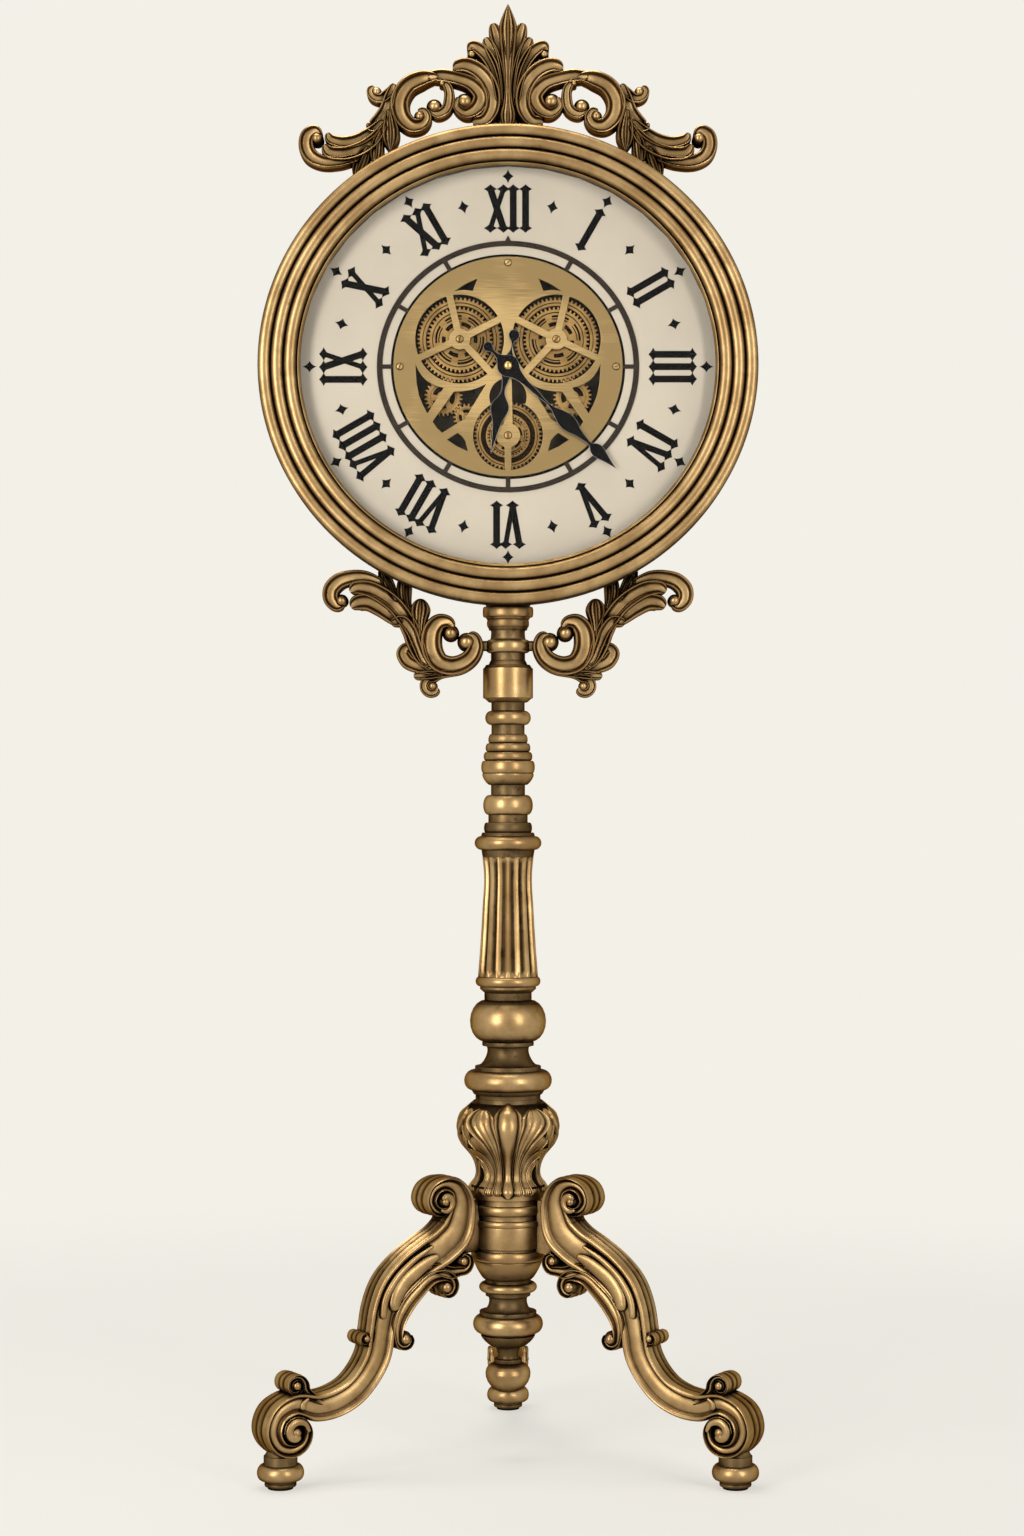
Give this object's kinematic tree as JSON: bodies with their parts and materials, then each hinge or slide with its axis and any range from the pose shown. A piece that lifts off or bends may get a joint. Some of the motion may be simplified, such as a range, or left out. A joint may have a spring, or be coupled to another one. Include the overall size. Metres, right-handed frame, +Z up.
{
  "type": "floor clock",
  "caption": "Floor-standing clock with a glazed round dial, a moving gear display, a scrolled crest and brackets, and a turned column on scroll legs.",
  "frame": {"origin": "on the floor, under the middle of the model's bounding box", "axes": "+Z up, +X to the viewer's right, the dial faces -Y"},
  "size_m": [0.5958, 0.516, 1.7414],
  "materials": {
    "antique_casting": "antique brass plating, dark patina in the hollows, worn bright on the ridges",
    "brushed_brass": "brushed brass with a soft satin sheen",
    "dark_bronze": "dark bronze lacquer, satin",
    "black_enamel": "satin black enamel",
    "cream_enamel": "matt aged cream enamel",
    "clear_glass": "clear flat glass",
    "black_plastic": "moulded matt black plastic",
    "zinc_steel": "zinc plated steel",
    "cell_wrap": "glossy printed film over a steel can, left plain"
  },
  "bodies": {
    "stand_and_case": {"foot_left": "antique_casting", "foot_right": "antique_casting", "foot_rear": "antique_casting", "leg_left": "antique_casting", "leg_right": "antique_casting", "leg_rear": "antique_casting", "hub": "antique_casting", "pendant": "antique_casting", "vase": "antique_casting", "knop": "antique_casting", "fluted_shaft": "antique_casting", "upper_post": "antique_casting", "neck": "antique_casting", "crest": "antique_casting", "bracket_left": "antique_casting", "bracket_right": "antique_casting", "bezel": "antique_casting", "leg_bolt_left": "zinc_steel", "leg_bolt_right": "zinc_steel", "leg_bolt_rear": "zinc_steel", "tie_rod": "zinc_steel", "saddle_screw_left": "zinc_steel", "saddle_screw_right": "zinc_steel", "cover_screw_left": "zinc_steel", "cover_screw_right": "zinc_steel", "door_pin": "zinc_steel", "gear_motor": "zinc_steel", "saddle": "dark_bronze", "case_shell": "dark_bronze", "back_cover": "dark_bronze", "minute_ring": "dark_bronze", "rear_plate": "dark_bronze", "gear_plate": "brushed_brass", "plate_screw_top": "brushed_brass", "plate_screw_left": "brushed_brass", "plate_screw_right": "brushed_brass", "glass_spacer": "black_plastic", "battery_holder": "black_plastic", "movement_case": "black_plastic", "dial_plate": "cream_enamel", "glass": "clear_glass", "motor_cell": "cell_wrap", "movement_cell": "cell_wrap"},
    "minute_works": {"minute_arbor": "zinc_steel", "minute_hand": "black_enamel", "hand_nut": "brushed_brass"},
    "hour_works": {"hour_wheel": "brushed_brass", "hour_hand": "black_enamel"},
    "minute_wheel": {"minute_wheel": "brushed_brass"},
    "set_knob": {"set_knob": "black_plastic"},
    "wheel_lower": {"wheel_lower": "brushed_brass"},
    "wheel_left": {"wheel_left": "brushed_brass"},
    "wheel_right": {"wheel_right": "brushed_brass"},
    "idler_left": {"idler_left": "brushed_brass"},
    "idler_right": {"idler_right": "brushed_brass"},
    "pinion_left": {"pinion_left": "brushed_brass"},
    "pinion_right": {"pinion_right": "brushed_brass"},
    "battery_door": {"battery_door": "dark_bronze"},
    "switch_slider": {"switch_slider": "black_plastic"}
  },
  "joints": [
    {"name": "minute_spin", "type": "hinge", "parent": "stand_and_case", "child": "minute_works", "pos_m": [0, -0.097, 1.308], "axis": [0, 1, 0], "continuous": true},
    {"name": "hour_spin", "type": "hinge", "parent": "stand_and_case", "child": "hour_works", "pos_m": [0, -0.097, 1.308], "axis": [0, 1, 0], "continuous": true},
    {"name": "minute_wheel_spin", "type": "hinge", "parent": "stand_and_case", "child": "minute_wheel", "pos_m": [0.006, -0.097, 1.29761], "axis": [0, 1, 0], "continuous": true},
    {"name": "set_knob_spin", "type": "hinge", "parent": "stand_and_case", "child": "set_knob", "pos_m": [-0.00439, -0.097, 1.29161], "axis": [0, 1, 0], "continuous": true},
    {"name": "wheel_lower_spin", "type": "hinge", "parent": "stand_and_case", "child": "wheel_lower", "pos_m": [0, -0.097, 1.226], "axis": [0, 1, 0], "continuous": true},
    {"name": "wheel_left_spin", "type": "hinge", "parent": "stand_and_case", "child": "wheel_left", "pos_m": [-0.0576, -0.097, 1.3407], "axis": [0, 1, 0], "continuous": true},
    {"name": "wheel_right_spin", "type": "hinge", "parent": "stand_and_case", "child": "wheel_right", "pos_m": [0.0576, -0.097, 1.3407], "axis": [0, 1, 0], "continuous": true},
    {"name": "idler_left_spin", "type": "hinge", "parent": "stand_and_case", "child": "idler_left", "pos_m": [-0.07691, -0.097, 1.27243], "axis": [0, 1, 0], "continuous": true},
    {"name": "idler_right_spin", "type": "hinge", "parent": "stand_and_case", "child": "idler_right", "pos_m": [0.07691, -0.097, 1.27243], "axis": [0, 1, 0], "continuous": true},
    {"name": "pinion_left_spin", "type": "hinge", "parent": "stand_and_case", "child": "pinion_left", "pos_m": [-0.04955, -0.097, 1.24858], "axis": [0, 1, 0], "continuous": true},
    {"name": "pinion_right_spin", "type": "hinge", "parent": "stand_and_case", "child": "pinion_right", "pos_m": [0.04955, -0.097, 1.24858], "axis": [0, 1, 0], "continuous": true},
    {"name": "battery_door_hinge", "type": "hinge", "parent": "stand_and_case", "child": "battery_door", "pos_m": [0, -0.03141, 1.354], "axis": [1, 0, 0], "range_deg": [0, 110]},
    {"name": "switch_slide", "type": "slide", "parent": "stand_and_case", "child": "switch_slider", "axis": [0, 0, 1], "range_m": [0, 0.004]}
  ],
  "couplings": [
    {"joint": "hour_spin", "follows": "minute_spin", "ratio": 0.083333},
    {"joint": "minute_wheel_spin", "follows": "minute_spin", "ratio": -0.33333},
    {"joint": "set_knob_spin", "follows": "minute_spin", "ratio": 1},
    {"joint": "pinion_left_spin", "follows": "wheel_lower_spin", "ratio": -2.6667},
    {"joint": "pinion_right_spin", "follows": "wheel_lower_spin", "ratio": -2.6667},
    {"joint": "idler_left_spin", "follows": "wheel_lower_spin", "ratio": 1.8462},
    {"joint": "idler_right_spin", "follows": "wheel_lower_spin", "ratio": 1.8462},
    {"joint": "wheel_left_spin", "follows": "wheel_lower_spin", "ratio": -0.8},
    {"joint": "wheel_right_spin", "follows": "wheel_lower_spin", "ratio": -0.8}
  ]
}
